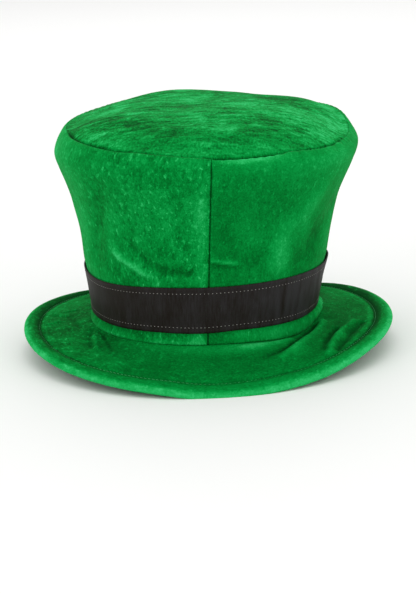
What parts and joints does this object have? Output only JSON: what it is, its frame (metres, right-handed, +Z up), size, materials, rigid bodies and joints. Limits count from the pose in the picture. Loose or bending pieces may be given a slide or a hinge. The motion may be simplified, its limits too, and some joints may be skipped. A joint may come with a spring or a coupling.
{
  "type": "leprechaun hat",
  "caption": "Costume top hat in green velvet: crown flaring upwards with a puffed top, drooping brim with a padded rim, and a plain black satin band.",
  "frame": {"origin": "on the floor, under the middle of the brim", "axes": "+Z up along the crown; the back of the hat with its seam faces +Y, its front faces -Y, and +X is the wearer's left"},
  "size_m": [0.3048, 0.3012, 0.2011],
  "materials": {
    "green_velvet": "crushed velvet with a short pile, bonded to foam",
    "black_satin": "soft satin sheen"
  },
  "bodies": {
    "root": {"crown_side": "green_velvet", "crown_top": "green_velvet", "hat_band": "black_satin", "brim": "green_velvet"}
  },
  "joints": []
}
